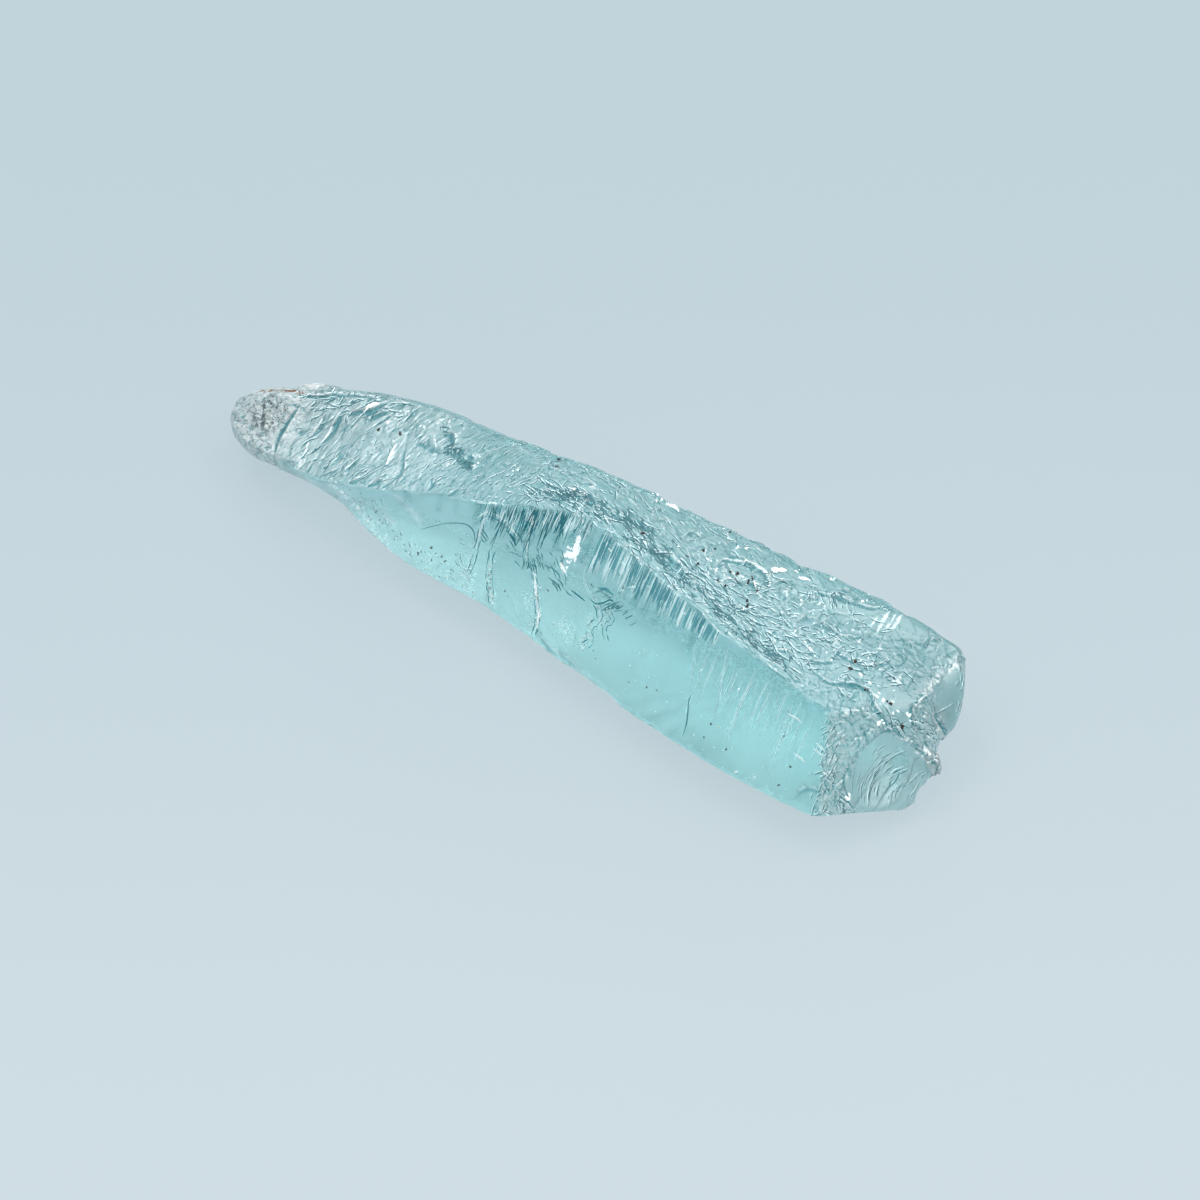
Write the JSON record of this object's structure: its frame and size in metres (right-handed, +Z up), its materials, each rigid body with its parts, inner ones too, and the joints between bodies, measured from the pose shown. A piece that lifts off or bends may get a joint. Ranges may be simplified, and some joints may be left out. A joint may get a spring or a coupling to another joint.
{
  "type": "aquamarine crystal",
  "caption": "Rough aquamarine crystal, pale blue and see-through: a long tapering prism with a frosted rounded tip, a broken butt end and a flat face to lie on.",
  "frame": {"origin": "under the middle of the crystal's box, on the surface that it lies on", "axes": "+X along the crystal from its narrow tip to its broken butt end, +Y towards its back, +Z up from the flat face that it lies on"},
  "size_m": [0.0632, 0.0172, 0.0118],
  "materials": {
    "beryl": "clear pale blue beryl with worn, pitted and shell-shaped broken surfaces",
    "inclusion": "pale veils, healed cracks and dark mineral specks sealed in the crystal"
  },
  "bodies": {
    "root": {"aquamarine_crystal": "beryl"}
  },
  "joints": []
}
